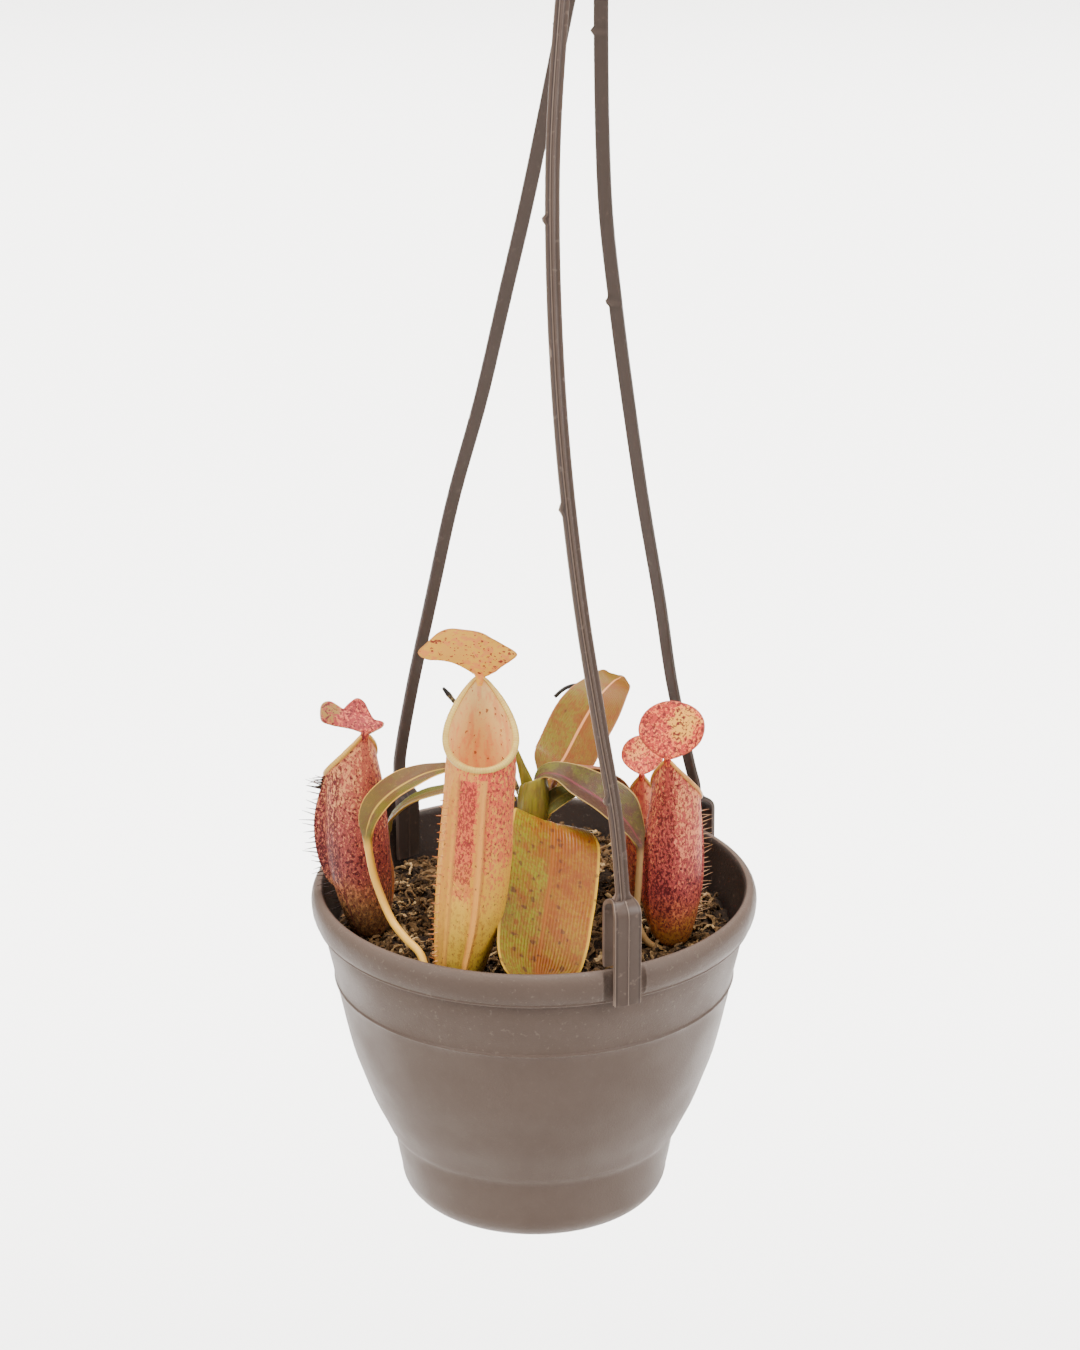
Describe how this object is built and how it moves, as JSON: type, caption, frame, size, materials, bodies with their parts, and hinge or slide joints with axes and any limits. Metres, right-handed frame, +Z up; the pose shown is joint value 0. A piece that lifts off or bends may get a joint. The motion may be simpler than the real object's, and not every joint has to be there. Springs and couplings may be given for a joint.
{
  "type": "hanging pitcher plant",
  "caption": "Tropical pitcher plant with broad leaves, lidded pitchers on tendrils and a moss bed, growing in a stepped round plastic pot on a strap hanger with a hook.",
  "frame": {"origin": "centre of the pot's underside, on the pot's axis", "axes": "+Z up along the pot's axis to the hook, -Y towards the front, +X to the right seen from the front"},
  "size_m": [0.1452, 0.1452, 0.5025],
  "materials": {
    "pot_plastic": "satin taupe moulded plastic with a fine grain",
    "hanger_plastic": "satin taupe moulded plastic, smooth",
    "moss": "dry brown fibrous moss and coir chips",
    "stem_green": "semi-gloss green plant stem",
    "dry_brown": "matt dried plant tissue",
    "leaf_orange": "semi-gloss leaf, olive to orange with red blush",
    "leaf_purple": "semi-gloss leaf, purple-brown with a green edge",
    "leaf_pink": "semi-gloss leaf, dull pink",
    "leaf_green": "semi-gloss leaf, dull green",
    "pitcher_cream": "satin cream and yellow-green tissue with red speckles",
    "pitcher_red": "satin red-speckled tissue with a cream-orange mouth"
  },
  "bodies": {
    "root": {"pot": "pot_plastic", "moss_bed": "moss", "hanger_strap_front": "hanger_plastic", "hanger_strap_right": "hanger_plastic", "hanger_strap_left": "hanger_plastic", "hanger_hook": "hanger_plastic", "stem": "stem_green", "dry_tendril": "dry_brown", "leaf_back": "leaf_orange", "leaf_front": "leaf_orange", "leaf_right": "leaf_purple", "leaf_left": "leaf_purple", "leaf_rear": "leaf_pink", "leaf_left_low": "leaf_green", "leaf_small": "leaf_green", "pitcher_front": "pitcher_cream", "pitcher_left": "pitcher_red", "pitcher_right": "pitcher_red", "pitcher_rear": "pitcher_red"}
  },
  "joints": []
}
